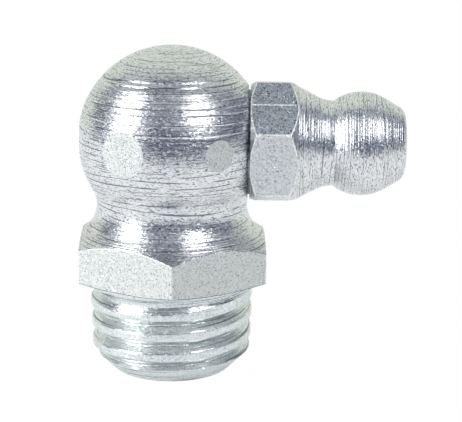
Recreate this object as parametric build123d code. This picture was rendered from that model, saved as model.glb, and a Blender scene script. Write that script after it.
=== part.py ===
from build123d import *

import os
from math import atan, cos, degrees, hypot, radians, sin, sqrt, tan

# Angled (90 degree) cone-head grease nipple with an M10 x 1.25 taper thread.
# The origin is on the thread's axis, in the plane of the hexagon's underside. +Z points up the body, and the
# head points along +X. Lengths are in millimetres and angles in degrees.

# Elbow body: hexagon, neck and ball, turned from hexagon bar
BAR_FLATS = 11.0  # across flats
BAR_TURN = 2.0  # turn of the hexagon away from one corner facing -Y
BAR_RUNOUT_X = 0.085  # how far the bar ran out in the lathe
BAR_RUNOUT_Y = 0.055
HEX_HEIGHT = 2.6  # at the middle of each flat
HEX_TOP_SLOPE = 31.0  # cone over the corners, below the horizontal
HEX_UNDERSIDE_SLOPE = 14.0
NECK_RADIUS = 4.5
NECK_FILLET = 2.0
BALL_RADIUS = 5.575  # a little over half the flats, so the bar's flats leave round marks on it
PARTING_FLAT_RADIUS = 0.45  # left on top of the ball where it was parted off

# Taper thread, rolled, right hand
THREAD_LENGTH = 5.7
THREAD_TOP_RADIUS = 4.95  # over the crests, at the hexagon
THREAD_TAPER = 1 / 32  # per side, which is 1:16 on diameter
THREAD_PITCH = 1.25
THREAD_DEPTH = 0.46
THREAD_FLANK = 43.0  # between a flank and the plane across the thread
THREAD_ROOT_RADIUS = 0.1
THREAD_CREST_RADIUS = 0.15
THREAD_CREST_CUTOFF = 15.0  # of the crest's round, left sharp
THREAD_STOP = 0.88  # from the hexagon down to the end of the full groove
THREAD_STOP_ANGLE = 215.0  # about +Z from +X
THREAD_RUNOUT_ANGLE = 40.0  # turn over which the groove fades out
THREAD_RUNOUT_OVERLAP = 4.0  # turn before the full groove's end at which the fading one starts
THREAD_RUNOUT_STEP = 0.02  # by which it is the shallower of the two
THREAD_END_CHAMFER = 1.2

# Grease way up the body
GREASE_WAY_RADIUS = 1.75
GREASE_WAY_CHAMFER = 0.3
DRILL_POINT = 31.0  # slope of a drilled hole's bottom
DRILL_WEB_RADIUS = 0.15  # flat that the drill's web leaves at the point

# Seat and bore for the head
SEAT_X = 4.52  # plane of the spot face on the ball
SEAT_RADIUS = 3.95
HEAD_DROP = 0.1  # head axis below the ball's centre
BORE_END_ROOM = 0.3  # bore beyond the spigot's end

# Cone head, turned from hexagon bar
HEAD_FLATS = 6.75
HEAD_TURN = 16.8  # of the front corner above the horizontal
HEAD_HEX_LENGTH = 2.75
HEAD_REAR_SLOPE = 34.0  # corner chamfers, from the plane across the head
HEAD_FRONT_SLOPE = 41.0
HEAD_CONE_ANGLE = 27.7  # half angle behind the neck
HEAD_NECK_RADIUS = 2.52
HEAD_NECK_ARC = 2.0
HEAD_NECK_LAND = 0.05
BULGE_RADIUS = 3.07
BULGE_ARC = 2.73
TIP_CONE_ANGLE = 30.6  # half angle in front of the bulge
TIP_CONE_LENGTH = 0.861
TIP_ROUND = 0.62
SHOULDER_RADIUS = 3.1  # behind the hexagon, seated on the spot face
SHOULDER_LENGTH = 0.11
SPIGOT_RADIUS = 2.25
SPIGOT_LENGTH = 3.0  # from the hexagon's rear face
SPIGOT_CHAMFER = 0.3

# Check valve in the head
MOUTH_RADIUS = 0.8
MOUTH_LAND = 0.45
VALVE_SEAT_ANGLE = 45.0  # half angle
CHECK_BALL_RADIUS = 1.25
CHECK_BALL_ROOM = 0.15  # radial clearance in the chamber
VALVE_SEAT_GAP = 0.02
LIP_THICKNESS = 0.5  # rolled-in rear end of the spigot
LIP_HOLE_RADIUS = 0.8
SPRING_WIRE_RADIUS = 0.16
SPRING_ROOM = 0.2  # radial clearance in the chamber
SPRING_TURNS = 9
SPRING_END_GAP = 0.03

# Extra length of cutters past what they cut
OVERCUT = 1.0

# Worked out from the sizes above
bar_corner_radius = BAR_FLATS / sqrt(3)
blank_radius = bar_corner_radius + hypot(BAR_RUNOUT_X, BAR_RUNOUT_Y) + OVERCUT
neck_fillet_r = NECK_RADIUS + NECK_FILLET
neck_fillet_z = (
    HEX_HEIGHT
    - (neck_fillet_r - BAR_FLATS / 2) * tan(radians(HEX_TOP_SLOPE))
    + NECK_FILLET / cos(radians(HEX_TOP_SLOPE))
)
ball_z = neck_fillet_z + sqrt((BALL_RADIUS + NECK_FILLET) ** 2 - neck_fillet_r**2)
head_z = ball_z - HEAD_DROP
head_x = SEAT_X + SHOULDER_LENGTH

# Places along the head, from the rear face of its hexagon
cone_end_r = HEAD_NECK_RADIUS + HEAD_NECK_ARC * (1 - cos(radians(HEAD_CONE_ANGLE)))
cone_end_x = HEAD_HEX_LENGTH + (HEAD_FLATS / 2 - cone_end_r) / tan(radians(HEAD_CONE_ANGLE))
neck_x = cone_end_x + HEAD_NECK_ARC * sin(radians(HEAD_CONE_ANGLE))
bulge_centre_r = BULGE_RADIUS - BULGE_ARC
bulge_x = neck_x + HEAD_NECK_LAND + sqrt(BULGE_ARC**2 - (HEAD_NECK_RADIUS - bulge_centre_r) ** 2)
tip_cone_x = bulge_x + BULGE_ARC * sin(radians(TIP_CONE_ANGLE))
head_length = tip_cone_x + TIP_CONE_LENGTH + TIP_ROUND * (1 - sin(radians(TIP_CONE_ANGLE)))
chamber_radius = CHECK_BALL_RADIUS + CHECK_BALL_ROOM


def polar(radius, angle):
    """Offset at an angle above the first axis of a half section."""
    return radius * cos(radians(angle)), radius * sin(radians(angle))


def arc_points(centre, radius, angles):
    """Points of an arc of a half section, each at its angle above the first axis."""
    offsets = [polar(radius, angle) for angle in angles]
    return [(centre[0] + dx, centre[1] + dr) for dx, dr in offsets]


def thread_crest(z):
    """Radius over the thread's crests at a height."""
    return THREAD_TOP_RADIUS + z * THREAD_TAPER


def body_outline():
    """Half section of the turned body, from the thread's end to the top of the ball."""
    chamfer_z = THREAD_END_CHAMFER - THREAD_LENGTH
    beyond_flats = blank_radius - BAR_FLATS / 2
    underside_z = beyond_flats * tan(radians(HEX_UNDERSIDE_SLOPE))
    corner_z = HEX_HEIGHT - beyond_flats * tan(radians(HEX_TOP_SLOPE))
    fillet_dr, fillet_dz = polar(NECK_FILLET, 270 - HEX_TOP_SLOPE)
    fillet_foot = (neck_fillet_r + fillet_dr, neck_fillet_z + fillet_dz)
    ball_share = BALL_RADIUS / (BALL_RADIUS + NECK_FILLET)
    ball_foot = (neck_fillet_r * ball_share, ball_z + (neck_fillet_z - ball_z) * ball_share)
    parting_z = ball_z + sqrt(BALL_RADIUS**2 - PARTING_FLAT_RADIUS**2)
    with BuildSketch(Plane.XZ) as section:
        with BuildLine():
            Polyline(
                (0, parting_z),
                (0, -THREAD_LENGTH),
                (thread_crest(chamfer_z) - THREAD_END_CHAMFER, -THREAD_LENGTH),
                (thread_crest(chamfer_z), chamfer_z),
                (thread_crest(0), 0),
                (BAR_FLATS / 2, 0),
                (blank_radius, underside_z),
                (blank_radius, corner_z),
                fillet_foot,
            )
            ThreePointArc(fillet_foot, (NECK_RADIUS, neck_fillet_z), ball_foot)
            ThreePointArc(ball_foot, (BALL_RADIUS, ball_z), (PARTING_FLAT_RADIUS, parting_z))
            Line((PARTING_FLAT_RADIUS, parting_z), (0, parting_z))
        make_face()
    return section.sketch


def hexagon_bar(flats, length):
    """Hexagon bar standing on the origin, with one corner on +X."""
    return extrude(RegularPolygon(flats / 2, 6, major_radius=False), length)


def groove_section(radius, z):
    """Thread groove across its run, its root at the given radius and height."""
    flank = radians(THREAD_FLANK)
    cutoff = radians(THREAD_CREST_CUTOFF)
    root_r = radius + THREAD_ROOT_RADIUS
    crest_r = radius + THREAD_DEPTH - THREAD_CREST_RADIUS
    foot = (root_r - THREAD_ROOT_RADIUS * sin(flank), THREAD_ROOT_RADIUS * cos(flank))
    head_r = crest_r + THREAD_CREST_RADIUS * sin(flank)
    head = (head_r, foot[1] + (head_r - foot[0]) * tan(flank))
    crest_z = head[1] + THREAD_CREST_RADIUS * cos(flank)
    middle = (flank + radians(90) - cutoff) / 2
    middle_of_round = (
        crest_r + THREAD_CREST_RADIUS * sin(middle),
        crest_z - THREAD_CREST_RADIUS * cos(middle),
    )
    edge = (crest_r + THREAD_CREST_RADIUS * cos(cutoff), crest_z - THREAD_CREST_RADIUS * sin(cutoff))
    outside = (radius + THREAD_DEPTH + THREAD_CREST_RADIUS, edge[1])

    def above(point):
        return point[0], z + point[1]

    def below(point):
        return point[0], z - point[1]

    with BuildSketch(Plane.XZ) as section:
        with BuildLine():
            ThreePointArc(below(foot), (radius, z), above(foot))
            Line(above(foot), above(head))
            ThreePointArc(above(head), above(middle_of_round), above(edge))
            Polyline(above(edge), above(outside), below(outside), below(edge))
            ThreePointArc(below(edge), below(middle_of_round), below(head))
            Line(below(head), below(foot))
        make_face()
    return section.sketch


def thread_path(radius, z, rise, lift):
    """Right-hand helix at the thread's lead from a radius and height, moving out by lift as it rises."""
    cone_angle = atan(lift / rise)
    lead_on_cone = THREAD_PITCH / cos(cone_angle)
    return Helix(lead_on_cone, rise, radius, center=(0, 0, z), cone_angle=degrees(cone_angle))


def thread_groove():
    """Cutters for the taper thread: the full groove, and a short turn over which it fades out."""
    turns = int((THREAD_LENGTH - THREAD_STOP) / THREAD_PITCH) + 2
    full_z = -THREAD_STOP - turns * THREAD_PITCH
    full_radius = thread_crest(full_z) - THREAD_DEPTH
    full_rise = turns * THREAD_PITCH
    full_path = thread_path(full_radius, full_z, full_rise, full_rise * THREAD_TAPER)
    full = sweep(groove_section(full_radius, full_z), path=full_path, is_frenet=True)
    fade_z = -THREAD_STOP - THREAD_PITCH * THREAD_RUNOUT_OVERLAP / 360
    fade_radius = thread_crest(fade_z) - THREAD_DEPTH + THREAD_RUNOUT_STEP
    fade_rise = THREAD_PITCH * (THREAD_RUNOUT_OVERLAP + THREAD_RUNOUT_ANGLE) / 360
    fade_path = thread_path(fade_radius, fade_z, fade_rise, THREAD_DEPTH + THREAD_ROOT_RADIUS)
    fade = sweep(groove_section(fade_radius, fade_z), path=fade_path, is_frenet=True)
    return [
        Rot(0, 0, THREAD_STOP_ANGLE) * full,
        Rot(0, 0, THREAD_STOP_ANGLE - THREAD_RUNOUT_OVERLAP) * fade,
    ]


def drilled_hole(radius, depth):
    """Cutter for a drilled hole that enters at the origin and goes down, with its pointed bottom."""
    bottom = -depth - (radius - DRILL_WEB_RADIUS) * tan(radians(DRILL_POINT))
    with BuildSketch(Plane.XZ) as section:
        with BuildLine():
            Polyline(
                (0, OVERCUT),
                (radius, OVERCUT),
                (radius, -depth),
                (DRILL_WEB_RADIUS, bottom),
                (0, bottom),
                close=True,
            )
        make_face()
    return revolve(section.sketch, Axis.Z)


def make_body():
    turned = revolve(body_outline(), Axis.Z)
    bar_length = THREAD_LENGTH + ball_z + BALL_RADIUS + 2 * OVERCUT
    bar = Rot(0, 0, BAR_TURN - 90) * hexagon_bar(BAR_FLATS, bar_length)
    body = turned & Pos(BAR_RUNOUT_X, BAR_RUNOUT_Y, -THREAD_LENGTH - OVERCUT) * bar
    for groove in thread_groove():
        body -= groove
    spot_face_depth = BALL_RADIUS - SEAT_X + OVERCUT
    body -= Pos(SEAT_X, 0, head_z) * Rot(0, 90, 0) * Cylinder(
        SEAT_RADIUS, spot_face_depth, align=(Align.CENTER, Align.CENTER, Align.MIN)
    )
    head_bore_depth = SPIGOT_LENGTH - SHOULDER_LENGTH + BORE_END_ROOM
    body -= Pos(SEAT_X, 0, head_z) * Rot(0, 90, 0) * drilled_hole(SPIGOT_RADIUS, head_bore_depth)
    thread_end = Pos(0, 0, -THREAD_LENGTH) * Rot(180, 0, 0)
    body -= thread_end * drilled_hole(GREASE_WAY_RADIUS, THREAD_LENGTH + head_z)
    body -= thread_end * Pos(0, 0, -GREASE_WAY_CHAMFER) * Cone(
        GREASE_WAY_RADIUS,
        GREASE_WAY_RADIUS + GREASE_WAY_CHAMFER,
        GREASE_WAY_CHAMFER,
        align=(Align.CENTER, Align.CENTER, Align.MIN),
    )
    return body


def head_outline():
    """Half section of the turned head about X, from the hexagon's rear face to the tip."""
    blank = HEAD_FLATS / sqrt(3) + OVERCUT
    flat_radius = HEAD_FLATS / 2
    rear_x = (blank - flat_radius) * tan(radians(HEAD_REAR_SLOPE))
    front_x = HEAD_HEX_LENGTH - (blank - flat_radius) * tan(radians(HEAD_FRONT_SLOPE))
    neck_arc = arc_points(
        (neck_x, HEAD_NECK_RADIUS + HEAD_NECK_ARC),
        HEAD_NECK_ARC,
        (270 - HEAD_CONE_ANGLE, 270 - HEAD_CONE_ANGLE / 2, 270),
    )
    bulge_foot = (neck_x + HEAD_NECK_LAND, HEAD_NECK_RADIUS)
    bulge_end = (tip_cone_x, bulge_centre_r + BULGE_ARC * cos(radians(TIP_CONE_ANGLE)))
    tip_round_r = (
        bulge_end[1]
        - TIP_CONE_LENGTH * tan(radians(TIP_CONE_ANGLE))
        - TIP_ROUND * cos(radians(TIP_CONE_ANGLE))
    )
    tip_arc = arc_points(
        (head_length - TIP_ROUND, tip_round_r),
        TIP_ROUND,
        (90 - TIP_CONE_ANGLE, 45 - TIP_CONE_ANGLE / 2, 0),
    )
    with BuildSketch(Plane.XZ) as section:
        with BuildLine():
            Polyline(
                tip_arc[-1],
                (head_length, 0),
                (-SPIGOT_LENGTH, 0),
                (-SPIGOT_LENGTH, SPIGOT_RADIUS - SPIGOT_CHAMFER),
                (SPIGOT_CHAMFER - SPIGOT_LENGTH, SPIGOT_RADIUS),
                (-SHOULDER_LENGTH, SPIGOT_RADIUS),
                (-SHOULDER_LENGTH, SHOULDER_RADIUS),
                (0, SHOULDER_RADIUS),
                (0, flat_radius),
                (rear_x, blank),
                (front_x, blank),
                (HEAD_HEX_LENGTH, flat_radius),
                neck_arc[0],
            )
            ThreePointArc(*neck_arc)
            Line(neck_arc[-1], bulge_foot)
            ThreePointArc(bulge_foot, (bulge_x, BULGE_RADIUS), bulge_end)
            Line(bulge_end, tip_arc[0])
            ThreePointArc(*tip_arc)
        make_face()
    return section.sketch


def valve_outline():
    """Half section of the hollow in the head: mouth, ball seat, chamber and the hole in the rear lip."""
    seat_front_x = head_length - MOUTH_LAND
    seat_rear_x = seat_front_x - (chamber_radius - MOUTH_RADIUS) / tan(radians(VALVE_SEAT_ANGLE))
    lip_x = LIP_THICKNESS - SPIGOT_LENGTH
    with BuildSketch(Plane.XZ) as section:
        with BuildLine():
            Polyline(
                (head_length + OVERCUT, 0),
                (head_length + OVERCUT, MOUTH_RADIUS),
                (seat_front_x, MOUTH_RADIUS),
                (seat_rear_x, chamber_radius),
                (lip_x, chamber_radius),
                (lip_x, LIP_HOLE_RADIUS),
                (-SPIGOT_LENGTH - OVERCUT, LIP_HOLE_RADIUS),
                (-SPIGOT_LENGTH - OVERCUT, 0),
                close=True,
            )
        make_face()
    return section.sketch


def make_head():
    turned = revolve(head_outline(), Axis.X)
    bar_length = SPIGOT_LENGTH + head_length + 2 * OVERCUT
    bar = Pos(-SPIGOT_LENGTH - OVERCUT, 0, 0) * Rot(0, 90, 0) * hexagon_bar(HEAD_FLATS, bar_length)
    head = turned & Rot(30 - HEAD_TURN, 0, 0) * bar
    return head - revolve(valve_outline(), Axis.X)


def check_ball_x():
    """Where the ball's centre rests, from the head's rear face."""
    seat = radians(VALVE_SEAT_ANGLE)
    seat_apex_x = head_length - MOUTH_LAND + MOUTH_RADIUS / tan(seat)
    return seat_apex_x - (CHECK_BALL_RADIUS + VALVE_SEAT_GAP) / sin(seat)


def make_check_ball():
    return Pos(check_ball_x(), 0, 0) * Sphere(CHECK_BALL_RADIUS)


def make_spring():
    coil_radius = chamber_radius - SPRING_ROOM - SPRING_WIRE_RADIUS
    reach = CHECK_BALL_RADIUS + SPRING_WIRE_RADIUS + SPRING_END_GAP
    front_x = check_ball_x() - sqrt(reach**2 - coil_radius**2)
    rear_x = LIP_THICKNESS - SPIGOT_LENGTH + SPRING_WIRE_RADIUS + SPRING_END_GAP
    length = front_x - rear_x
    path = Helix(length / SPRING_TURNS, length, coil_radius)
    start = Plane(path @ 0, x_dir=(1, 0, 0), z_dir=path % 0)
    coil = sweep(start * Circle(SPRING_WIRE_RADIUS), path=path, is_frenet=True)
    return Pos(rear_x, 0, 0) * Rot(0, 90, 0) * coil


os.makedirs("parts", exist_ok=True)
in_head = Pos(head_x, 0, head_z)
pieces = {
    "body": make_body(),
    "nipple_head": in_head * make_head(),
    "check_ball": in_head * make_check_ball(),
    "spring": in_head * make_spring(),
}
for node, piece in pieces.items():
    export_step(piece, f"parts/{node}.step")
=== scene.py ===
from math import acos, asin, atan2, cos, floor, hypot, pi, radians, sin, sqrt, tan

import bmesh
import bpy
from mathutils import Matrix, Vector


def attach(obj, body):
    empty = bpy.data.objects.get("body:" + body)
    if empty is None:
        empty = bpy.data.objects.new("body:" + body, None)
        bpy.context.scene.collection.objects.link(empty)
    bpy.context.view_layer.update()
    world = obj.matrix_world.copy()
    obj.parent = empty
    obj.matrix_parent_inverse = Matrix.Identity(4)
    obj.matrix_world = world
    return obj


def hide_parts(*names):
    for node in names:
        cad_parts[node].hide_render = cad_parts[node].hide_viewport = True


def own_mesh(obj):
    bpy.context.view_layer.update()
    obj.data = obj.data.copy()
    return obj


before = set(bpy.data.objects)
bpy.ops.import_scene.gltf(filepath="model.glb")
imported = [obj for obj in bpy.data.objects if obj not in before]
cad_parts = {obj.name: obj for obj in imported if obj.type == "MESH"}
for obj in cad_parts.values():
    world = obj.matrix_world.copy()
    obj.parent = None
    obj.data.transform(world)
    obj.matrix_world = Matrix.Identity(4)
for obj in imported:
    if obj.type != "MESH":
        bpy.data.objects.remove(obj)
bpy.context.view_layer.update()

# ---------------------------------------------------------------------------------------------------------
# Elbow body. Free-cutting steel, turned from 11 mm hexagon bar in one chucking: thread end, hexagon, neck
# and ball. The bar's flats are left on the hexagon, and touch the ball as round marks. The taper thread is
# rolled, the two ways for grease are drilled, and all of it is zinc plated.
# ---------------------------------------------------------------------------------------------------------
MM = 0.001

BAR_FLATS = 11.0 * MM
BAR_TURN = radians(2)  # of the first flat, to the left of the way that the head points
BAR_RUNOUT = Vector((0.085, 0.055, 0)) * MM  # of the bar's middle, off the axis that it was turned on
BAR_CORNER_ROUND = 0.13 * MM
BLANK_ROOM = 0.1 * MM  # of a turned blank, over the corners that its bar is cut back to
SIDE_CUTS = 3  # round a hexagon, for each side: one at the flat and two that round off the next corner
CUT_TURN = 20  # degrees from one cut to the next
TO_CORNER = radians(30)  # from the middle of a flat
EASED_WIDTH = 0.05 * MM  # of the rim round a flat
EASED_FALL = 0.03 * MM
LOWER_RIM = 0.4 * MM  # height under which a rim faces down and gets the dark colour of the bores as painted shade
SHADED_RIM_CUT = 15  # the flat at the front right, whose upper rim gets a dark colour as painted shade
SHADED_RIM_RISE = 0.1  # least share of that rim's normal upwards
SHADED_RIM_FACING = 0.8  # and outwards
HEX_HEIGHT = 2.6 * MM
HEX_TOP_SLOPE = radians(31)
HEX_UNDERSIDE_SLOPE = radians(14)
UNDERSIDE_LAND = 0.1 * MM  # width of the last ring of the level underside
NECK_RADIUS = 4.5 * MM
NECK_FILLET = 2.0 * MM
BALL_RADIUS = 5.575 * MM
PARTING_FLAT = 0.45 * MM
TOOL_RINGS = (  # on the ball, in mm: height of a ring's deepest line, run below and above it, depth
    *((height, 0.045, 0.045, 0.018) for height in (1.14, 1.7, 2.26, 2.62, 3.04, 3.4)),
    (3.68, 0.24, 0.1, 0.022),
    (3.93, 0.24, 0.1, 0.022),
    (5.31, 0.045, 0.045, 0.018),
)
FILLET_RINGS = (3, 7.5, 12, 16.5, 21)  # in the neck's fillet: degrees from its foot
FILLET_RING_WIDTH = 0.1 * MM
FILLET_RING_DEPTH = 0.018 * MM

THREAD_LENGTH = 5.7 * MM
THREAD_TOP_RADIUS = 4.95 * MM
THREAD_TAPER = 1 / 32  # radius gained per length
THREAD_PITCH = 1.25 * MM
THREAD_DEPTH = 0.46 * MM
THREAD_FLANK = radians(36)  # from the plane across the thread
THREAD_ROOT_ROUND = 0.1 * MM
THREAD_CREST_ROUND = 0.15 * MM
THREAD_STOP = 0.88 * MM  # under the hexagon: middle of the groove where it is last at its full depth
THREAD_STOP_ANGLE = radians(215)
THREAD_RUNOUT = (  # degrees past that place, share of the groove's depth left uncut, spread of the groove
    (0, 0, 1),
    (15, 0.4, 2.3),
    (60, 0.45, 2.3),
    (150, 1, 2.3),
)
THREAD_END_CHAMFER = 1.2 * MM

GREASE_WAY_RADIUS = 1.75 * MM
GREASE_WAY_CHAMFER = 0.3 * MM
DRILL_POINT = radians(31)  # slope of a drill's point
DRILL_WEB = 0.15 * MM  # radius of the flat at its very end

SEAT_X = 4.52 * MM  # of the spot face that the head is pressed against
HEAD_DROP = 0.1 * MM  # of the head's axis, below the ball's centre
SPIGOT_RADIUS = 2.25 * MM
HEAD_BORE_DEPTH = 3.19 * MM

OVERCUT = 0.2 * MM  # of a cutter past what it cuts
AROUND = 240  # steps of a full turn
THREAD_ROW = 0.052 * MM  # from one row of faces to the next
TURNED_ROW = 0.12 * MM
MERGED = 0.0005 * MM  # vertices closer than this become one
ON_CUT = 0.001 * MM  # vertices closer to a cut than this lie on it
SHARP = radians(24)  # an edge that turns by more than this stays sharp
SHARP_TURNED = radians(6)  # and between two turned faces, by more than this

# Two kinds carry painted shade: the bored colour also darkens a crevice and downward rims, and the last kind
# is a dark colour painted on shaded faces.
TURNED, DRAWN, ROLLED, BORED_AND_SHADE, EASED, PAINTED_SHADE = range(6)  # material of a face

blank_radius = BAR_FLATS / sqrt(3) + BAR_RUNOUT.length + BLANK_ROOM
neck_fillet_r = NECK_RADIUS + NECK_FILLET
neck_fillet_z = (
    HEX_HEIGHT
    - (neck_fillet_r - BAR_FLATS / 2) * tan(HEX_TOP_SLOPE)
    + NECK_FILLET / cos(HEX_TOP_SLOPE)
)
ball_z = neck_fillet_z + sqrt((BALL_RADIUS + NECK_FILLET) ** 2 - neck_fillet_r**2)
head_z = ball_z - HEAD_DROP


def arc(centre, radius, start, end, spacing):
    """Points along an arc of a half section, from its start angle to its end angle, evenly spaced."""
    steps = max(2, round(radius * abs(end - start) / spacing))
    angles = [start + (end - start) * step / steps for step in range(steps + 1)]
    return [(centre[0] + radius * cos(a), centre[1] + radius * sin(a)) for a in angles]


def rows(start, end, spacing):
    """Points along a straight stretch of a half section, evenly spaced."""
    steps = max(1, round(hypot(end[0] - start[0], end[1] - start[1]) / spacing))
    shares = [step / steps for step in range(steps + 1)]
    return [(start[0] + (end[0] - start[0]) * s, start[1] + (end[1] - start[1]) * s) for s in shares]


def crest_radius(z):
    """Radius over the crests of the tapered thread."""
    return THREAD_TOP_RADIUS + z * THREAD_TAPER


def spin_section(points, origin, across, along, closed=False):
    """Mesh of a half section turned once about an axis, with the distance along the section as "arc"."""
    bm = bmesh.new()
    travelled = bm.verts.layers.float.new("arc")
    distance = 0.0
    verts = []
    for radius, height in points:
        vert = bm.verts.new(origin + across * radius + along * height)
        if verts:
            distance += (vert.co - verts[-1].co).length
            bm.edges.new((verts[-1], vert))
        vert[travelled] = distance
        verts.append(vert)
    if closed:
        bm.edges.new((verts[-1], verts[0]))
    bmesh.ops.spin(
        bm,
        geom=bm.verts[:] + bm.edges[:],
        cent=origin,
        axis=along,
        angle=2 * pi,
        steps=AROUND,
        use_merge=True,
    )
    bmesh.ops.remove_doubles(bm, verts=bm.verts, dist=MERGED)
    bmesh.ops.recalc_face_normals(bm, faces=bm.faces)
    return bm


def ball_outline(start, end):
    """Arc of the ball between two angles, with the rings that the tool's tip left in it."""
    points = []
    for height, below, above, depth in TOOL_RINGS:
        ring = asin(height * MM / BALL_RADIUS)
        points += arc((0, ball_z), BALL_RADIUS, start, ring - below * MM / BALL_RADIUS, TURNED_ROW)
        bottom = BALL_RADIUS - depth * MM
        points.append((bottom * cos(ring), ball_z + bottom * sin(ring)))
        start = ring + above * MM / BALL_RADIUS
    return points + arc((0, ball_z), BALL_RADIUS, start, end, TURNED_ROW)


def fillet_outline(start, end):
    """Arc of the neck's fillet from its foot up to the ball, with the rings that the tool's tip left."""
    points = []
    centre = (neck_fillet_r, neck_fillet_z)
    half = FILLET_RING_WIDTH / 2 / NECK_FILLET
    bottom = NECK_FILLET + FILLET_RING_DEPTH
    for ring in [start - radians(turned) for turned in FILLET_RINGS]:
        points += arc(centre, NECK_FILLET, start, ring + half, TURNED_ROW)
        points.append((centre[0] + bottom * cos(ring), centre[1] + bottom * sin(ring)))
        start = ring - half
    return points + arc(centre, NECK_FILLET, start, end, TURNED_ROW)


def body_section():
    """Half section of the turned body, from its axis at the thread's end up to the top of the ball."""
    chamfer_z = THREAD_END_CHAMFER - THREAD_LENGTH
    beyond = blank_radius - BAR_FLATS / 2
    underside_z = beyond * tan(HEX_UNDERSIDE_SLOPE)
    corner_z = HEX_HEIGHT - beyond * tan(HEX_TOP_SLOPE)
    foot_angle = radians(270) - HEX_TOP_SLOPE
    ball_share = BALL_RADIUS / (BALL_RADIUS + NECK_FILLET)
    ball_foot = (neck_fillet_r * ball_share, ball_z + (neck_fillet_z - ball_z) * ball_share)
    to_ball = atan2(ball_foot[1] - neck_fillet_z, ball_foot[0] - neck_fillet_r) % (2 * pi)
    ball_foot_angle = atan2(ball_foot[1] - ball_z, ball_foot[0])
    parting_angle = pi / 2 - PARTING_FLAT / BALL_RADIUS
    end_radius = crest_radius(chamfer_z) - THREAD_END_CHAMFER
    points = [(0, -THREAD_LENGTH)]
    points += rows((end_radius, -THREAD_LENGTH), (crest_radius(chamfer_z), chamfer_z), THREAD_ROW)
    points += rows((crest_radius(chamfer_z), chamfer_z), (THREAD_TOP_RADIUS, 0), THREAD_ROW)[1:]
    points += [(BAR_FLATS / 2 - UNDERSIDE_LAND, 0), (BAR_FLATS / 2, 0)]
    points += [(blank_radius, underside_z), (blank_radius, corner_z)]
    points += fillet_outline(foot_angle, to_ball)
    points += ball_outline(ball_foot_angle, parting_angle)[1:]
    points += [(0, ball_z + BALL_RADIUS * sin(parting_angle))]
    return points


def groove_height(distance):
    """Height of the thread's surface over the groove's root at an axial distance from its middle."""
    foot = THREAD_ROOT_ROUND * cos(THREAD_FLANK)
    foot_height = THREAD_ROOT_ROUND * (1 - sin(THREAD_FLANK))
    crest_height = THREAD_DEPTH - THREAD_CREST_ROUND
    head_height = crest_height + THREAD_CREST_ROUND * sin(THREAD_FLANK)
    head = foot + (head_height - foot_height) * tan(THREAD_FLANK)
    land = head + THREAD_CREST_ROUND * cos(THREAD_FLANK)
    if distance < foot:
        return THREAD_ROOT_ROUND - sqrt(THREAD_ROOT_ROUND**2 - distance**2)
    if distance < head:
        return foot_height + (distance - foot) / tan(THREAD_FLANK)
    if distance < land:
        return crest_height + sqrt(THREAD_CREST_ROUND**2 - (land - distance) ** 2)
    return THREAD_DEPTH


def runout(turned):
    """Share of the groove's depth left uncut past the end of the full thread, and the groove's spread."""
    for (start, *before), (end, *after) in zip(THREAD_RUNOUT, THREAD_RUNOUT[1:]):
        if turned < radians(end):
            gone = (turned - radians(start)) / radians(end - start)
            return [low + (high - low) * gone for low, high in zip(before, after)]
    return 1.0, 1.0


def thread_surface(angle, z):
    """Radius of the thread's surface, whose groove widens and runs out below the hexagon, and the distance
    from the groove's middle."""
    turned = (angle - THREAD_STOP_ANGLE) % (2 * pi)
    radius = crest_radius(z)
    groove = (z + THREAD_STOP) / THREAD_PITCH - turned / (2 * pi)
    for turn in (floor(groove), floor(groove) + 1):
        distance = abs(groove - turn) * THREAD_PITCH
        height = groove_height(distance)
        if turn == 0:
            uncut, spread = runout(turned)
            height = groove_height(distance / spread)
            height += (THREAD_DEPTH + THREAD_ROOT_ROUND) * uncut
        if turn <= 0:
            radius = min(radius, crest_radius(z) - THREAD_DEPTH + height)
    return radius, abs(groove - round(groove)) * THREAD_PITCH


def cut_along(bm, faces, point, normal, clear=False):
    """Cuts some faces along a plane, clears what is beyond it if asked, and gives what lies on the cut."""
    touched = dict.fromkeys(item for face in faces for item in (*face.verts, *face.edges, face))
    cut = bmesh.ops.bisect_plane(
        bm, geom=list(touched), dist=ON_CUT, plane_co=point, plane_no=normal, clear_outer=clear
    )
    return cut["geom_cut"]


def cut_flat(bm, faces, point, normal, kind):
    """Cuts some faces of a turned blank back to a plane, and fills the cut with one flat face."""
    cut = cut_along(bm, faces, point, normal, clear=True)
    rim = [item for item in cut if isinstance(item, bmesh.types.BMEdge)]
    for face in bmesh.ops.holes_fill(bm, edges=rim, sides=0)["faces"]:
        face.material_index = kind


def cut_directions(turn, start, side):
    """Ways that the cuts round a hexagon face, where the first flat's is turned from the start to a side."""
    turns = [turn + radians(CUT_TURN * number) for number in range(6 * SIDE_CUTS)]
    return [start * cos(angle) + side * sin(angle) for angle in turns]


def cut_hexagon(bm, part, centre, directions, flats, corner_round, eased):
    """Cuts a part of a turned blank back to its bar's flats and rounded corners, and eases their rims."""
    to_flat = flats / 2 - EASED_FALL
    corner = (to_flat - corner_round) / cos(TO_CORNER)
    beside_corner = corner_round + corner * cos(radians(CUT_TURN / 2))
    for number, direction in enumerate(directions):
        at_flat = number % SIDE_CUTS == 0
        distance = to_flat if at_flat else beside_corner
        cut_flat(bm, part(bm), centre + direction * distance, direction, DRAWN if at_flat else EASED)
    bm.normal_update()
    rims = bmesh.ops.inset_region(
        bm,
        faces=[face for face in part(bm) if face.material_index in (DRAWN, EASED)],
        thickness=eased,
        depth=EASED_FALL,
        use_boundary=True,
        use_even_offset=True,
    )
    # Rims and corner faces get the lighter rim colour as painted highlight.
    for face in rims["faces"]:
        face.material_index = EASED


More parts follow.
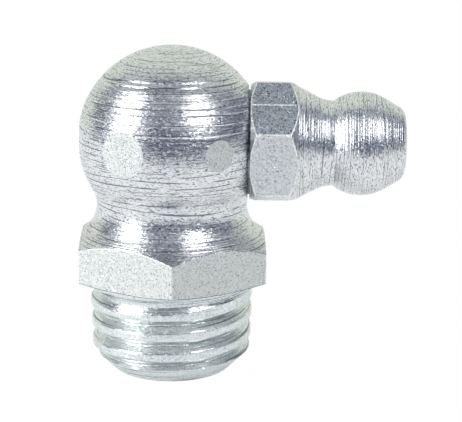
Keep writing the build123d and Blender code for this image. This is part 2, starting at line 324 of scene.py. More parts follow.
def drilled_hole(mouth, across, along, radius, depth, chamfer):
    """Cutter for a drilled hole, from outside its mouth to its pointed bottom, with a chamfered mouth."""
    bottom = depth + (radius - DRILL_WEB) * tan(DRILL_POINT)
    section = [(0, -OVERCUT), (radius + chamfer + OVERCUT, -OVERCUT), (radius, chamfer)]
    section += [(radius, depth), (DRILL_WEB, bottom), (0, bottom)]
    cutter = spin_section(section, mouth, across, along)
    for face in cutter.faces:
        face.material_index = BORED_AND_SHADE
    return cutter


def cut_out(bm, cutters):
    """The mesh less what the cutters take out of it."""
    objects = []
    for number, shape in enumerate([bm, *cutters]):
        mesh = bpy.data.meshes.new(f"stage {number}")
        shape.to_mesh(mesh)
        shape.free()
        for kind in range(PAINTED_SHADE + 1):
            mesh.materials.append(None)
        stage = bpy.data.objects.new(f"stage {number}", mesh)
        bpy.context.scene.collection.objects.link(stage)
        objects.append(stage)
    blank = objects[0]
    for cutter in objects[1:]:
        cut = blank.modifiers.new("cut", "BOOLEAN")
        cut.operation = "DIFFERENCE"
        cut.solver = "EXACT"
        cut.object = cutter
    finished = bmesh.new()
    finished.from_object(blank, bpy.context.evaluated_depsgraph_get())
    for stage in objects:
        mesh = stage.data
        bpy.data.objects.remove(stage)
        bpy.data.meshes.remove(mesh)
    return finished


def ball_faces(bm):
    """Faces of the ball and of the neck's upper end."""
    return [face for face in bm.faces if face.calc_center_median().z > neck_fillet_z]


def hexagon_faces(bm):
    """Faces of the thread, the hexagon and the neck's foot."""
    return [face for face in bm.faces if face.calc_center_median().z < neck_fillet_z]


def body_mesh():
    """The turned blank with its thread rolled, cut back to its bar's flats, and drilled."""
    front, left, up = Vector((1, 0, 0)), Vector((0, 1, 0)), Vector((0, 0, 1))
    bm = spin_section(body_section(), Vector(), front, up)
    for face in bm.faces:
        if face.calc_center_median().z < 0:
            face.material_index = ROLLED
    travelled = bm.verts.layers.float["arc"]
    for vert in bm.verts:
        if -THREAD_LENGTH < vert.co.z < 0 and vert.co.xy.length > NECK_RADIUS / 2:
            angle = atan2(vert.co.y, vert.co.x)
            radius, vert[travelled] = thread_surface(angle, vert.co.z)
            radius = min(vert.co.xy.length, radius)
            vert.co.x, vert.co.y = radius * cos(angle), radius * sin(angle)
    directions = cut_directions(BAR_TURN, front, left)
    for direction in directions[::SIDE_CUTS]:
        cut_flat(bm, ball_faces(bm), BAR_RUNOUT + direction * BAR_FLATS / 2, direction, DRAWN)
    cut_hexagon(bm, hexagon_faces, BAR_RUNOUT, directions, BAR_FLATS, BAR_CORNER_ROUND, EASED_WIDTH)
    cut_flat(bm, ball_faces(bm), Vector((SEAT_X, 0, 0)), front, TURNED)
    bm.normal_update()
    outwards = directions[SHADED_RIM_CUT]
    # Painted shade: rims that face down get the dark colour of the bores, and the upper rim of the front
    # right flat a darker colour.
    for face in [face for face in hexagon_faces(bm) if face.material_index == EASED]:
        if face.calc_center_median().z < LOWER_RIM:
            face.material_index = BORED_AND_SHADE
        elif face.normal.z > SHADED_RIM_RISE and face.normal.dot(outwards) > SHADED_RIM_FACING:
            face.material_index = PAINTED_SHADE
    thread_end = Vector((0, 0, -THREAD_LENGTH))
    seat_centre = Vector((SEAT_X, 0, head_z))
    grease_way = drilled_hole(
        thread_end, front, up, GREASE_WAY_RADIUS, THREAD_LENGTH + head_z, GREASE_WAY_CHAMFER
    )
    head_bore = drilled_hole(seat_centre, up, -front, SPIGOT_RADIUS, HEAD_BORE_DEPTH, 0)
    return cut_out(bm, [grease_way, head_bore])


def mark_sharp(bm):
    """Keeps the shading from running over sharp edges, and over the rims of the marks on the ball."""
    bm.normal_update()
    for edge in bm.edges:
        if len(edge.link_faces) == 2:
            kinds = [face.material_index for face in edge.link_faces]
            limit = SHARP_TURNED if kinds == [TURNED, TURNED] else SHARP
            mark_rim = sorted(kinds) == [TURNED, DRAWN] and edge.verts[0].co.z > neck_fillet_z
            edge.smooth = edge.calc_face_angle() < limit and not mark_rim


def add_piece(name, bm, materials, body, replaced):
    """Makes an object of a mesh, rides it on its body and lets it stand for its CAD node."""
    for face in bm.faces:
        face.smooth = True
    mesh = bpy.data.meshes.new(name)
    bm.to_mesh(mesh)
    bm.free()
    for material in materials:
        mesh.materials.append(material)
    piece = bpy.data.objects.new(name, mesh)
    bpy.context.scene.collection.objects.link(piece)
    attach(piece, body)
    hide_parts(replaced)
    return piece


def linear(colour):
    """Linear colour of an sRGB hex value."""
    channels = [int(colour[place : place + 2], 16) / 255 for place in (1, 3, 5)]
    curve = [c / 12.92 if c <= 0.04045 else ((c + 0.055) / 1.055) ** 2.4 for c in channels]
    return (*curve, 1.0)


def add(tree, kind, inputs=None, **settings):
    """Adds a node with its settings, and each input set to a value or linked to a socket."""
    node = tree.nodes.new(kind)
    for name, value in settings.items():
        setattr(node, name, value)
    for name, value in (inputs or {}).items():
        if isinstance(value, bpy.types.NodeSocket):
            tree.links.new(value, node.inputs[name])
        else:
            node.inputs[name].default_value = value
    return node


ZINC = "#E4E4E3"
ZINC_DULLED = "#7A808B"
FACET = 0.09 * MM  # across a facet of the zinc: far coarser than its real crystals, so that it shows
STREAK = 0.05 * MM  # across a facet that the turned lines draw out, coarser than real for the same reason
STREAK_LENGTH = 0.09 * MM
FACET_DULLED = 0.2  # most that clean facets differ, as a share of the way to the dull colour
STEEP_FROM = 0.9  # of a facet's first chance: over it, the facet lies steeper than the others
STEEP = 3.2  # times as steep, at most
FROSTED_FROM = 0.84  # of its second chance: over it, the facet turns matt
FROSTED_FADE = 0.05
FROSTED = 0.6  # roughness of a matt one
TURNED_ROUGHNESS = 0.28
RIPPLE = 0.17 * MM  # across a ripple in the zinc over turned steel
RING_WANDER = 4.0  # spacings by which rings wander along the section, and over which they do
RING_LENGTH = 14 * MM  # along a ring, before it wanders off
RING_RUN = 1.7 * MM  # along a stretch where a ring is cut in
RING_EDGE = (0.1, 0.05)  # from a ring's middle, in spacings: where it begins and where it is deepest
TEAR = 0.055 * MM  # across a torn fleck
TEAR_LENGTH = 0.2 * MM
LINE_FADE = 0.1  # of a line's values, from bright to dull
# A mark comes in between two values of its clouds, the second of them where it is full:
RING_SHOWN = (0.42, 0.56)
TORN = (0.555, 0.65)
PITTED = (0.57, 0.68)
SPECKED = (0.58, 0.68)
UNBURNISHED = (0.42, 0.32)
STAINED = (0.4, 0.65)


def metal(name):
    """A metal to be finished, with its node tree and the place on the piece."""
    material = bpy.data.materials.new(name)
    material.use_nodes = True
    tree = material.node_tree
    tree.nodes["Principled BSDF"].inputs["Metallic"].default_value = 1.0
    return material, tree, add(tree, "ShaderNodeTexCoord").outputs["Object"]


def in_sizes(tree, place, sizes):
    """A place counted in sizes along its three directions, so that a pattern over it gets those sizes."""
    scale = tuple(1 / size for size in sizes)
    return add(tree, "ShaderNodeVectorMath", {0: place, 1: scale}, operation="MULTIPLY").outputs[0]


def clouds(tree, place, sizes, detail=1.0, distortion=0.0):
    """Cloudy pattern of values from 0 to 1, with clouds of the given sizes."""
    pattern = {"Vector": in_sizes(tree, place, sizes), "Scale": 1.0}
    pattern |= {"Detail": detail, "Distortion": distortion}
    return add(tree, "ShaderNodeTexNoise", pattern).outputs["Fac"]


def between(tree, value, low, high):
    """0 below the low value and 1 above the high one, or the other way round."""
    limits = {"Value": value, "From Min": low, "From Max": high}
    return add(tree, "ShaderNodeMapRange", limits, interpolation_type="SMOOTHSTEP").outputs[0]


def plate(tree, place, facet_sizes, height, dulled, colours, roughness, tilt):
    """Finishes a zinc plating: its facets tip the light over the surface's relief, some of them steeper and
    some matt, and its colour goes from bright to dull."""
    shader = tree.nodes["Principled BSDF"]
    facets = add(tree, "ShaderNodeTexVoronoi", {"Vector": in_sizes(tree, place, facet_sizes), "Scale": 1.0})
    facets = facets.outputs["Color"]
    chance = add(tree, "ShaderNodeSeparateXYZ", {0: facets})
    centred = {0: facets, 1: (0.5, 0.5, 0.5)}
    centred = add(tree, "ShaderNodeVectorMath", centred, operation="SUBTRACT").outputs[0]
    steep = {"Value": chance.outputs["Z"], "From Min": STEEP_FROM, "To Min": tilt, "To Max": STEEP * tilt}
    steep = add(tree, "ShaderNodeMapRange", steep).outputs[0]
    tipped = add(tree, "ShaderNodeVectorMath", {0: centred, "Scale": steep}, operation="SCALE").outputs[0]
    surface = add(tree, "ShaderNodeNewGeometry").outputs["Normal"]
    facet = add(tree, "ShaderNodeVectorMath", {0: tipped, 1: surface}, operation="ADD").outputs[0]
    facet = add(tree, "ShaderNodeVectorMath", {0: facet}, operation="NORMALIZE").outputs[0]
    relief = {"Height": height, "Distance": 1.0, "Strength": 1.0, "Normal": facet}
    tree.links.new(add(tree, "ShaderNodeBump", relief).outputs[0], shader.inputs["Normal"])
    shade = {0: chance.outputs["X"], 1: FACET_DULLED, 2: dulled}
    shade = add(tree, "ShaderNodeMath", shade, operation="MULTIPLY_ADD", use_clamp=True).outputs[0]
    bright, dull = (linear(colour) for colour in colours)
    colour = add(tree, "ShaderNodeMix", {"Factor": shade, "A": bright, "B": dull}, data_type="RGBA")
    tree.links.new(colour.outputs["Result"], shader.inputs["Base Color"])
    frosted = {"Value": chance.outputs["Y"], "To Min": roughness, "To Max": max(roughness, FROSTED)}
    frosted |= {"From Min": FROSTED_FROM, "From Max": FROSTED_FROM + FROSTED_FADE}
    frosted = add(tree, "ShaderNodeMapRange", frosted).outputs[0]
    tree.links.new(frosted, shader.inputs["Roughness"])


def turned_zinc(name, axis, feed, line_length, line_depth, line_dull, ring, ring_depth, ripple_depth, tilt):
    """Zinc over turned steel: lines round the axis, darker where they are deep, some rings and torn flecks.
    """
    material, tree, place = metal(name)
    apart = add(tree, "ShaderNodeSeparateXYZ", {0: place})
    across = [apart.outputs[letter] for letter in "XYZ" if letter != axis]
    arc_length = add(tree, "ShaderNodeAttribute", attribute_name="arc").outputs["Fac"]
    unrolled = {"X": across[0], "Y": across[1], "Z": arc_length}
    unrolled = add(tree, "ShaderNodeCombineXYZ", unrolled).outputs[0]
    line = clouds(tree, unrolled, (line_length, line_length, feed))
    drift = clouds(tree, unrolled, (RING_LENGTH, RING_LENGTH, RING_WANDER * ring))
    shown = clouds(tree, unrolled, (RING_RUN, RING_RUN, ring))
    tear = clouds(tree, unrolled, (TEAR_LENGTH, TEAR_LENGTH, TEAR), detail=2.0)
    ripple = clouds(tree, place, (RIPPLE,) * 3, distortion=1.0)
    height = add(tree, "ShaderNodeMath", {0: ripple, 1: ripple_depth}, operation="MULTIPLY").outputs[0]
    height = {0: line, 1: line_depth, 2: height}
    height = add(tree, "ShaderNodeMath", height, operation="MULTIPLY_ADD").outputs[0]
    phase = add(tree, "ShaderNodeMath", {0: arc_length, 1: 1 / ring}, operation="MULTIPLY").outputs[0]
    phase = {0: drift, 1: RING_WANDER, 2: phase}
    phase = add(tree, "ShaderNodeMath", phase, operation="MULTIPLY_ADD").outputs[0]
    phase = add(tree, "ShaderNodeMath", {0: phase, 1: 0.5}, operation="PINGPONG").outputs[0]
    grooved = {0: between(tree, phase, *RING_EDGE), 1: between(tree, shown, *RING_SHOWN)}
    grooved = add(tree, "ShaderNodeMath", grooved, operation="MULTIPLY").outputs[0]
    height = {0: grooved, 1: -ring_depth, 2: height}
    height = add(tree, "ShaderNodeMath", height, operation="MULTIPLY_ADD").outputs[0]
    marks = {0: between(tree, tear, *TORN), 1: between(tree, line, line_dull, line_dull - LINE_FADE)}
    dulled = add(tree, "ShaderNodeMath", marks, operation="MAXIMUM").outputs[0]
    dulled = add(tree, "ShaderNodeMath", {0: grooved, 1: dulled}, operation="MAXIMUM").outputs[0]
    facets = (STREAK_LENGTH, STREAK_LENGTH, STREAK)
    plate(tree, unrolled, facets, height, dulled, (ZINC, ZINC_DULLED), TURNED_ROUGHNESS, tilt)
    return material


def drawn_zinc(name, colours, roughness, tilt, pit_size, pit_depth):
    """Zinc over the bar's drawn skin, pitted and dull in the pits."""
    material, tree, place = metal(name)
    pit = clouds(tree, place, (pit_size,) * 3, distortion=0.8)
    height = add(tree, "ShaderNodeMath", {0: pit, 1: -pit_depth}, operation="MULTIPLY").outputs[0]
    plate(tree, place, (FACET,) * 3, height, between(tree, pit, *PITTED), colours, roughness, tilt)
    return material


def thread_zinc(name, colours, roughness, tilt, line_length, line_gap, line_depth, speck):
    """Zinc over a rolled thread: burnished lines along the groove, dull between them and at fine specks."""
    material, tree, place = metal(name)
    across = add(tree, "ShaderNodeAttribute", attribute_name="arc").outputs["Fac"]
    across = add(tree, "ShaderNodeMath", {0: across, 1: 1 / line_gap}, operation="MULTIPLY").outputs[0]
    along = add(tree, "ShaderNodeVectorMath", {0: place, "Scale": 1 / line_length}, operation="SCALE")
    pattern = {"Vector": along.outputs[0], "W": across, "Scale": 1.0, "Detail": 1.0}
    line = add(tree, "ShaderNodeTexNoise", pattern, noise_dimensions="4D").outputs["Fac"]
    height = add(tree, "ShaderNodeMath", {0: line, 1: line_depth}, operation="MULTIPLY").outputs[0]
    spot = clouds(tree, place, (speck,) * 3, distortion=0.5)
    marks = {0: between(tree, spot, *SPECKED), 1: between(tree, line, *UNBURNISHED)}
    dulled = add(tree, "ShaderNodeMath", marks, operation="MAXIMUM").outputs[0]
    plate(tree, place, (FACET,) * 3, height, dulled, colours, roughness, tilt)
    return material


def mottled_metal(name, colours, roughness, mottle, depth):
    """Metal whose colour and surface wander from one spot to the next."""
    material, tree, place = metal(name)
    shader = tree.nodes["Principled BSDF"]
    spot = clouds(tree, place, (mottle,) * 3, detail=3.0)
    light, dark = (linear(colour) for colour in colours)
    stained = {"Factor": between(tree, spot, *STAINED), "A": light, "B": dark}
    colour = add(tree, "ShaderNodeMix", stained, data_type="RGBA").outputs["Result"]
    tree.links.new(colour, shader.inputs["Base Color"])
    height = add(tree, "ShaderNodeMath", {0: spot, 1: depth}, operation="MULTIPLY").outputs[0]
    relief = add(tree, "ShaderNodeBump", {"Height": height, "Distance": 1.0, "Strength": 1.0})
    tree.links.new(relief.outputs[0], shader.inputs["Normal"])
    shader.inputs["Roughness"].default_value = roughness
    return material


# Bright zinc over steel turned with a fine feed: glossy, but the lines round the axis break up its
# highlights, and rings and torn flecks stand dark in them.
turned_body_zinc = turned_zinc(
    "zinc_turned_body",
    axis="Z",
    feed=0.07 * MM,
    line_length=3 * MM,
    line_depth=0.007 * MM,
    line_dull=0.35,
    ring=0.34 * MM,
    ring_depth=0.009 * MM,
    ripple_depth=0.006 * MM,
    tilt=0.12,
)
# Bright zinc over the skin of cold-drawn bar: pale and nearly matt, because the skin under it is finely
# pitted. The pits are drawn a little wider than real, so that they show.
drawn_body_zinc = drawn_zinc(
    "zinc_drawn_body",
    ("#DCDEDB", "#989C9A"),
    roughness=0.6,
    tilt=0.22,
    pit_size=0.075 * MM,
    pit_depth=0.016 * MM,
)
# Painted highlight: the rims and rounded corners round the flats, and the die line's crest, are coloured
# lighter than the flats, and glint.
eased_zinc_painted_highlight = drawn_zinc(
    "zinc_eased_edges_painted_highlight",
    ("#F4F4F2", "#A4A6A6"),
    roughness=0.5,
    tilt=0.3,
    pit_size=0.075 * MM,
    pit_depth=0.016 * MM,
)
# Bright zinc over a thread that dies rolled: burnished, so that long highlights run along the groove. The
# lines in them are drawn coarser and deeper than the dies' own marks, so that they show.
rolled_zinc = thread_zinc(
    "zinc_rolled",
    ("#E6EAE8", "#7E898B"),
    roughness=0.3,
    tilt=0.12,
    line_length=6 * MM,
    line_gap=0.07 * MM,
    line_depth=0.022 * MM,
    speck=0.05 * MM,
)
# Little zinc gets into bores: it is thin there, blue-grey and stained. Its colour is also painted shade in
# the head's crevice and on downward rims.
bored_and_shade_zinc = mottled_metal(
    "zinc_bored_and_painted_shade", ("#84949C", "#3F5762"), roughness=0.4, mottle=0.2 * MM, depth=0.02 * MM
)
# Painted shade: a dark zinc colour on the head's flat with the die line and on the upper rim of the body's
# front right flat, with coarse glints standing in the dark.
painted_shade_zinc = drawn_zinc(
    "zinc_painted_shade",
    ("#B6BBC2", "#3E444E"),
    roughness=0.29,
    tilt=0.42,
    pit_size=0.09 * MM,
    pit_depth=0.03 * MM,
)

body_bm = body_mesh()
mark_sharp(body_bm)
body = add_piece(
    "elbow_body",
    body_bm,
    [turned_body_zinc, drawn_body_zinc, rolled_zinc, bored_and_shade_zinc, eased_zinc_painted_highlight, painted_shade_zinc],
    "nipple",
    "body",
)
body.modifiers.new("flat faces", "WEIGHTED_NORMAL").keep_sharp = True

# ---------------------------------------------------------------------------------------------------------
# Cone head. Turned from 7 mm class hexagon bar and zinc plated like the body: hexagon, neck, bulge and tip,
# with the ball valve's chamber bored through it. Its spigot is pressed into the ball of the body.
# ---------------------------------------------------------------------------------------------------------
HEAD_FLATS = 6.75 * MM
HEAD_TURN = radians(46.8)  # of the first flat, up from facing right
HEAD_CORNER_ROUND = 0.2 * MM
HEAD_EASED_WIDTH = 0.08 * MM
DIE_LINE_UP = 0.24 * MM  # from the middle of the first flat, up along it
DIE_LINE_WIDTH = 0.1 * MM
DIE_LINE_HEIGHT = 0.02 * MM
SAME_FLAT = 0.9  # least share of a face's normal along its flat's own
HEAD_HEX_LENGTH = 2.75 * MM
HEAD_REAR_SLOPE = radians(34)
HEAD_FRONT_SLOPE = radians(41)
HEAD_CONE = radians(27.7)
HEAD_NECK_RADIUS = 2.52 * MM
HEAD_NECK_ARC = 2.0 * MM
HEAD_NECK_LAND = 0.05 * MM
BULGE_RADIUS = 3.07 * MM
BULGE_ARC = 2.73 * MM
TIP_CONE = radians(30.6)
TIP_CONE_LENGTH = 0.861 * MM
TIP_ROUND = 0.62 * MM
SHOULDER_RADIUS = 3.1 * MM
SHOULDER_LENGTH = 0.11 * MM
SPIGOT_LENGTH = 3.0 * MM
SPIGOT_CHAMFER = 0.3 * MM
MOUTH_RADIUS = 0.8 * MM
MOUTH_LAND = 0.45 * MM
VALVE_SEAT = radians(45)
CHAMBER_RADIUS = 1.4 * MM
LIP_THICKNESS = 0.5 * MM
LIP_HOLE_RADIUS = 0.8 * MM
HEAD_ROW = 0.06 * MM
BORE_ROOM = 0.01 * MM  # for a face whose middle lies on the limit of the bores

head_origin = Vector((SEAT_X + SHOULDER_LENGTH, 0, head_z))
head_cone_r = HEAD_NECK_RADIUS + HEAD_NECK_ARC * (1 - cos(HEAD_CONE))
head_cone_x = HEAD_HEX_LENGTH + (HEAD_FLATS / 2 - head_cone_r) / tan(HEAD_CONE)
head_neck_x = head_cone_x + HEAD_NECK_ARC * sin(HEAD_CONE)
bulge_centre_r = BULGE_RADIUS - BULGE_ARC
bulge_foot_angle = pi / 2 + acos((HEAD_NECK_RADIUS - bulge_centre_r) / BULGE_ARC)
bulge_x = head_neck_x + HEAD_NECK_LAND - BULGE_ARC * cos(bulge_foot_angle)
tip_cone_x = bulge_x + BULGE_ARC * sin(TIP_CONE) + TIP_CONE_LENGTH
tip_cone_r = bulge_centre_r + BULGE_ARC * cos(TIP_CONE) - TIP_CONE_LENGTH * tan(TIP_CONE)
tip_round_centre = (tip_cone_x - TIP_ROUND * sin(TIP_CONE), tip_cone_r - TIP_ROUND * cos(TIP_CONE))
head_length = tip_round_centre[0] + TIP_ROUND


def head_section():
    """Closed half section of the head, as radius and distance from the hexagon's rear face."""
    blank = HEAD_FLATS / sqrt(3) + BLANK_ROOM
    flat = HEAD_FLATS / 2
    seat_x = head_length - MOUTH_LAND
    neck_centre = (head_neck_x, HEAD_NECK_RADIUS + HEAD_NECK_ARC)
    neck = arc(neck_centre, HEAD_NECK_ARC, pi * 1.5 - HEAD_CONE, pi * 1.5, HEAD_ROW)
    bulge = arc((bulge_x, bulge_centre_r), BULGE_ARC, bulge_foot_angle, pi / 2 - TIP_CONE, HEAD_ROW)
    cone = rows(bulge[-1], (tip_cone_x, tip_cone_r), HEAD_ROW)
    tip = arc(tip_round_centre, TIP_ROUND, pi / 2 - TIP_CONE, 0, HEAD_ROW)
    section = [(LIP_HOLE_RADIUS, -SPIGOT_LENGTH), (SPIGOT_RADIUS - SPIGOT_CHAMFER, -SPIGOT_LENGTH)]
    section += [(SPIGOT_RADIUS, SPIGOT_CHAMFER - SPIGOT_LENGTH), (SPIGOT_RADIUS, -SHOULDER_LENGTH)]
    section += [(SHOULDER_RADIUS, -SHOULDER_LENGTH), (SHOULDER_RADIUS, 0), (flat, 0)]
    section += [(blank, (blank - flat) * tan(HEAD_REAR_SLOPE))]
    section += [(blank, HEAD_HEX_LENGTH - (blank - flat) * tan(HEAD_FRONT_SLOPE))]
    section += rows((flat, HEAD_HEX_LENGTH), (head_cone_r, head_cone_x), HEAD_ROW)
    section += [(radius, x) for x, radius in (*neck[1:], *bulge, *cone[1:], *tip[1:])]
    section += [(MOUTH_RADIUS, head_length), (MOUTH_RADIUS, seat_x)]
    section += [(CHAMBER_RADIUS, seat_x - (CHAMBER_RADIUS - MOUTH_RADIUS) / tan(VALVE_SEAT))]
    section += [(CHAMBER_RADIUS, LIP_THICKNESS - SPIGOT_LENGTH)]
    section += [(LIP_HOLE_RADIUS, LIP_THICKNESS - SPIGOT_LENGTH)]
    return section


def flat_faces(bm, direction):
    """Faces of the flat that faces a direction."""
    drawn = [face for face in bm.faces if face.material_index == DRAWN]
    return [face for face in drawn if face.normal.dot(direction) > SAME_FLAT]


def raise_die_line(bm, direction):
    """Draws a thin ridge along one flat, as a worn die does; its crest gets the light rim colour as painted
    highlight, and the rest of the flat a dark colour as painted shade.
    """
    bm.normal_update()
    upwards = direction.cross(Vector((1, 0, 0)))
    for offset in (-0.5, 0, 0.5):
        point = head_origin + upwards * (DIE_LINE_UP + offset * DIE_LINE_WIDTH)
        cut = cut_along(bm, flat_faces(bm, direction), point, upwards)
        if offset == 0:
            crest = [item for item in cut if isinstance(item, bmesh.types.BMVert)]
    bmesh.ops.translate(bm, verts=crest, vec=direction * DIE_LINE_HEIGHT)
    # Painted highlight on the die line's crest, painted shade on the rest of the flat.
    for face in flat_faces(bm, direction):
        face.material_index = EASED if set(crest) & set(face.verts) else PAINTED_SHADE


def head_mesh():
    """The turned blank cut back to its bar's flats, with the line that a worn die drew along one of them."""
    front, right, up = Vector((1, 0, 0)), Vector((0, -1, 0)), Vector((0, 0, 1))
    bm = spin_section(head_section(), head_origin, up, front, closed=True)
    for face in bm.faces:
        out = face.calc_center_median() - head_origin
        crevice = -SHOULDER_LENGTH < out.x < 0
        inside = out.yz.length < CHAMBER_RADIUS + BORE_ROOM and out.x < head_length - BORE_ROOM
        # The shoulder in the crevice gets the dark colour of the bores as painted shade.
        if crevice or inside:
            face.material_index = BORED_AND_SHADE
    directions = cut_directions(HEAD_TURN, right, up)
    cut_hexagon(
        bm, lambda bm: bm.faces[:], head_origin, directions, HEAD_FLATS, HEAD_CORNER_ROUND, HEAD_EASED_WIDTH
    )
    raise_die_line(bm, directions[0])
    return bm


# The same zinc over steel turned with a coarser feed: the lines run far round the head. They are drawn
# deeper than real, so that they show on so small a piece.
turned_head_zinc = turned_zinc(
    "zinc_turned_head",
    axis="X",
    feed=0.085 * MM,
    line_length=7 * MM,
    line_depth=0.045 * MM,
    line_dull=0.28,
    ring=0.2 * MM,
    ring_depth=0.004 * MM,
    ripple_depth=0.006 * MM,
    tilt=0.12,
)
# Bright zinc over bar drawn to a finer skin than the body's: glossier flats, with finer pits.
drawn_head_zinc = drawn_zinc(
    "zinc_drawn_head",
    ("#D3D6D8", "#8E9296"),
    roughness=0.3,
    tilt=0.26,
    pit_size=0.045 * MM,
    pit_depth=0.016 * MM,
)

head_bm = head_mesh()
mark_sharp(head_bm)
head = add_piece(
    "cone_head",
    head_bm,
    [turned_head_zinc, drawn_head_zinc, rolled_zinc, bored_and_shade_zinc, eased_zinc_painted_highlight, painted_shade_zinc],
    "nipple",
    "nipple_head",
)
head.modifiers.new("flat faces", "WEIGHTED_NORMAL").keep_sharp = True

# ---------------------------------------------------------------------------------------------------------
# Check ball. A hardened and polished steel ball, loose in the head's chamber. It shuts the mouth from behind
# until a grease gun pushes it back.
# ---------------------------------------------------------------------------------------------------------
CHECK_BALL_RADIUS = 1.25 * MM
VALVE_SEAT_GAP = 0.02 * MM  # between the ball and its seat

seat_apex_x = SEAT_X + SHOULDER_LENGTH + head_length - MOUTH_LAND + MOUTH_RADIUS / tan(VALVE_SEAT)
check_ball_x = seat_apex_x - (CHECK_BALL_RADIUS + VALVE_SEAT_GAP) / sin(VALVE_SEAT)

ball_bm = bmesh.new()
bmesh.ops.create_icosphere(
    ball_bm, subdivisions=5, radius=CHECK_BALL_RADIUS, matrix=Matrix.Translation((check_ball_x, 0, head_z))
)
# Bearing steel, ground and polished: a bright even mirror, hardly mottled.
polished_steel = mottled_metal(
    "bearing_steel_polished", ("#C8C8CA", "#BEBEC1"), roughness=0.12, mottle=0.3 * MM, depth=0.0005 * MM
)
add_piece("check_ball", ball_bm, [polished_steel], "valve_ball", "check_ball")

# ---------------------------------------------------------------------------------------------------------
# Valve spring. Hard-drawn steel wire, coiled with its end turns closed, between the head's rear lip and the
# check ball that it holds shut.
# ---------------------------------------------------------------------------------------------------------
SPRING_WIRE_RADIUS = 0.16 * MM
SPRING_COIL_RADIUS = 1.04 * MM
SPRING_TURNS = 9
SPRING_END_TURNS = 1.25  # closed, at each end
SPRING_END_PITCH = 0.36 * MM
SPRING_END_GAP = 0.03 * MM
WIRE_SIDES = 12
TURN_STEPS = 32

spring_reach = CHECK_BALL_RADIUS + SPRING_WIRE_RADIUS + SPRING_END_GAP
spring_front_x = check_ball_x - sqrt(spring_reach**2 - SPRING_COIL_RADIUS**2)
lip_x = SEAT_X + SHOULDER_LENGTH - SPIGOT_LENGTH + LIP_THICKNESS
spring_rear_x = lip_x + SPRING_WIRE_RADIUS + SPRING_END_GAP
spring_length = spring_front_x - spring_rear_x


def spring_mesh():
    """The wire's round end, wound forward turn by turn with the pitch of each stretch."""
    bm = bmesh.new()
    start = Vector((spring_rear_x, 0, head_z + SPRING_COIL_RADIUS))
    facing = Matrix.Rotation(pi / 2, 4, "X")
    wound = bmesh.ops.create_circle(
        bm,
        cap_ends=True,
        segments=WIRE_SIDES,
        radius=SPRING_WIRE_RADIUS,
        matrix=Matrix.Translation(start) @ facing,
    )["verts"]
    wound = [*wound, *bm.edges, *bm.faces]
    middle_turns = SPRING_TURNS - 2 * SPRING_END_TURNS
    middle_pitch = (spring_length - 2 * SPRING_END_TURNS * SPRING_END_PITCH) / middle_turns
    end = (SPRING_END_TURNS, SPRING_END_PITCH)
    for turns, pitch in (end, (middle_turns, middle_pitch), end):
        wound = bmesh.ops.spin(
            bm,
            geom=wound,
            cent=(0, 0, head_z),
            axis=(1, 0, 0),
            dvec=(pitch / TURN_STEPS, 0, 0),
            angle=2 * pi * turns,
            steps=round(turns * TURN_STEPS),
        )["geom_last"]
    bmesh.ops.recalc_face_normals(bm, faces=bm.faces)
    return bm


# Spring steel wire, drawn through a die and left unplated: mid-grey and slightly mottled.
spring_wire = mottled_metal(
    "spring_steel_drawn", ("#94959A", "#6A6A6C"), roughness=0.35, mottle=0.12 * MM, depth=0.006 * MM
)
spring = add_piece("valve_spring", spring_mesh(), [spring_wire], "nipple", "spring")
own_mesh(spring)

# ---------------------------------------------------------------------------------------------------------
# Studio. A white card under the nipple inside a light tent that opens towards the camera, with a soft box
# on either side of the camera.
# ---------------------------------------------------------------------------------------------------------
CAMERA_AZIMUTH = radians(0.563)
CAMERA_ELEVATION = radians(14.412)
CAMERA_ROLL = radians(0.725)
CAMERA_DISTANCE = 86.709 * MM
CAMERA_TARGET = Vector((3.549, 0, 3.865)) * MM
CAMERA_LENS = 112.4  # for the sensor's width
SENSOR_WIDTH = 36
CAMERA_NEAR = 5 * MM

FLOOR_SIZE = 600 * MM
FLOOR_FRONT = -52 * MM
CARD_COLOUR = "#E6E6E6"
CARD_GLOW = 0.3
CARD_BLEACHED = 0.97  # share of pure white in what the camera sees of it

camera_data = bpy.data.cameras.new("camera")
camera_data.lens = CAMERA_LENS
camera_data.sensor_width = SENSOR_WIDTH
camera_data.clip_start = CAMERA_NEAR
camera = bpy.data.objects.new("camera", camera_data)
bpy.context.scene.collection.objects.link(camera)
turn = Matrix.Rotation(CAMERA_AZIMUTH, 4, "Z") @ Matrix.Rotation(pi / 2 - CAMERA_ELEVATION, 4, "X")
back = turn @ Vector((0, 0, 1))
camera.matrix_world = (
    Matrix.Translation(CAMERA_TARGET + back * CAMERA_DISTANCE) @ turn @ Matrix.Rotation(CAMERA_ROLL, 4, "Z")
)
bpy.context.scene.camera = camera

card = bmesh.new()
bmesh.ops.create_grid(card, x_segments=1, y_segments=1, size=FLOOR_SIZE / 2)
bmesh.ops.translate(card, verts=card.verts, vec=(0, FLOOR_FRONT + FLOOR_SIZE / 2, -THREAD_LENGTH))
floor_mesh = bpy.data.meshes.new("floor")
card.to_mesh(floor_mesh)
card.free()
floor_object = bpy.data.objects.new("floor", floor_mesh)
bpy.context.scene.collection.objects.link(floor_object)
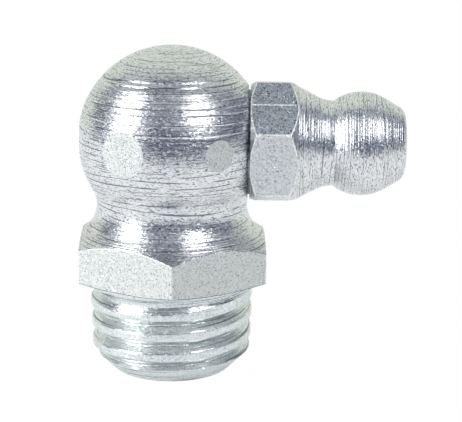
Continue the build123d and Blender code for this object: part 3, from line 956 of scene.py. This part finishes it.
# White card, matt and brightly lit from all round: the camera sees hardly any shade on it.
white_card = bpy.data.materials.new("white_card")
white_card.use_nodes = True
tree = white_card.node_tree
card_shader = tree.nodes["Principled BSDF"]
card_shader.inputs["Base Color"].default_value = linear(CARD_COLOUR)
card_shader.inputs["Roughness"].default_value = 1.0
glow = add(tree, "ShaderNodeEmission", {"Color": (1, 1, 1, 1), "Strength": 1.0})
seen = add(tree, "ShaderNodeLightPath").outputs["Is Camera Ray"]
share = add(tree, "ShaderNodeMath", {0: seen, 1: CARD_BLEACHED}, operation="MULTIPLY").outputs[0]
whitened = add(tree, "ShaderNodeMixShader", {0: share, 1: card_shader.outputs[0], 2: glow.outputs[0]})
card_shader.inputs["Emission Color"].default_value = (1, 1, 1, 1)
card_shader.inputs["Emission Strength"].default_value = CARD_GLOW
tree.links.new(whitened.outputs[0], tree.nodes["Material Output"].inputs["Surface"])
floor_mesh.materials.append(white_card)

SOFT_BOXES = {  # name: azimuth and elevation of its place and of the way it faces, width, height, radiance
    "left_soft_box": ((-62, 20), (-34, 36.5), 176 * MM, 436 * MM, 6.2),
    "right_soft_box": ((45, 37), (14, 52), 170 * MM, 276 * MM, 4.7),
}
SOFT_BOX_DISTANCE = 400 * MM


def towards(azimuth, elevation):
    """Direction at an azimuth from the camera's side and an elevation, both in degrees."""
    a, e = radians(azimuth), radians(elevation)
    return Vector((sin(a) * cos(e), -cos(a) * cos(e), sin(e)))


for name, (stand, face, width, height, radiance) in SOFT_BOXES.items():
    lamp = bpy.data.lights.new(name, "AREA")
    lamp.shape = "RECTANGLE"
    lamp.size, lamp.size_y = width, height
    lamp.energy = radiance * pi * width * height
    box = bpy.data.objects.new(name, lamp)
    bpy.context.scene.collection.objects.link(box)
    box.location = Vector((0, 0, ball_z)) + towards(*stand) * SOFT_BOX_DISTANCE
    box.rotation_euler = towards(*face).to_track_quat("Z", "Y").to_euler()

TENT_COLOUR = "#EDF3E9"
TENT_STRENGTH = 1.05
# The tent is open in directions (x, y, z) with y under |x| * (ARCH * z * (1 - z) + FOOT) + BACK.
OPENING_ARCH = 2.3
OPENING_FOOT = 0.15
OPENING_BACK = 0.02
OPENING_SOFT = 0.05  # on either side of the opening's edge
ROOM = (  # colours of the dim room that the opening shows, and the z of each
    (0.25, "#566079"),
    (0.65, "#989EAD"),
    (0.85, "#989EAD"),
    (0.98, "#6A7284"),
)

world = bpy.data.worlds.new("light_tent")
bpy.context.scene.world = world
world.use_nodes = True
tree = world.node_tree
background = tree.nodes["Background"]
direction = add(tree, "ShaderNodeTexCoord").outputs["Generated"]
apart = add(tree, "ShaderNodeSeparateXYZ", {0: direction}).outputs
aside = add(tree, "ShaderNodeMath", {0: apart["X"]}, operation="ABSOLUTE").outputs[0]
below = add(tree, "ShaderNodeMath", {0: 1.0, 1: apart["Z"]}, operation="SUBTRACT").outputs[0]
arch = add(tree, "ShaderNodeMath", {0: apart["Z"], 1: below}, operation="MULTIPLY").outputs[0]
arch = {0: arch, 1: OPENING_ARCH, 2: OPENING_FOOT}
arch = add(tree, "ShaderNodeMath", arch, operation="MULTIPLY_ADD").outputs[0]
edge = {0: aside, 1: arch, 2: OPENING_BACK}
edge = add(tree, "ShaderNodeMath", edge, operation="MULTIPLY_ADD").outputs[0]
past = add(tree, "ShaderNodeMath", {0: apart["Y"], 1: edge}, operation="SUBTRACT").outputs[0]
opening = between(tree, past, OPENING_SOFT, -OPENING_SOFT)
room = add(tree, "ShaderNodeValToRGB", {"Fac": apart["Z"]})
for _ in ROOM[2:]:
    room.color_ramp.elements.new(1.0)
for stop, (height, colour) in zip(room.color_ramp.elements, ROOM):
    stop.position, stop.color = height, linear(colour)
tent = {"Factor": opening, "A": linear(TENT_COLOUR), "B": room.outputs["Color"]}
tent = add(tree, "ShaderNodeMix", tent, data_type="RGBA").outputs["Result"]
seen = add(tree, "ShaderNodeLightPath").outputs["Is Camera Ray"]
shown = {"Factor": seen, "A": tent, "B": (1, 1, 1, 1)}
shown = add(tree, "ShaderNodeMix", shown, data_type="RGBA").outputs["Result"]
tree.links.new(shown, background.inputs["Color"])
background.inputs["Strength"].default_value = TENT_STRENGTH
bpy.context.scene.view_settings.view_transform = "Standard"
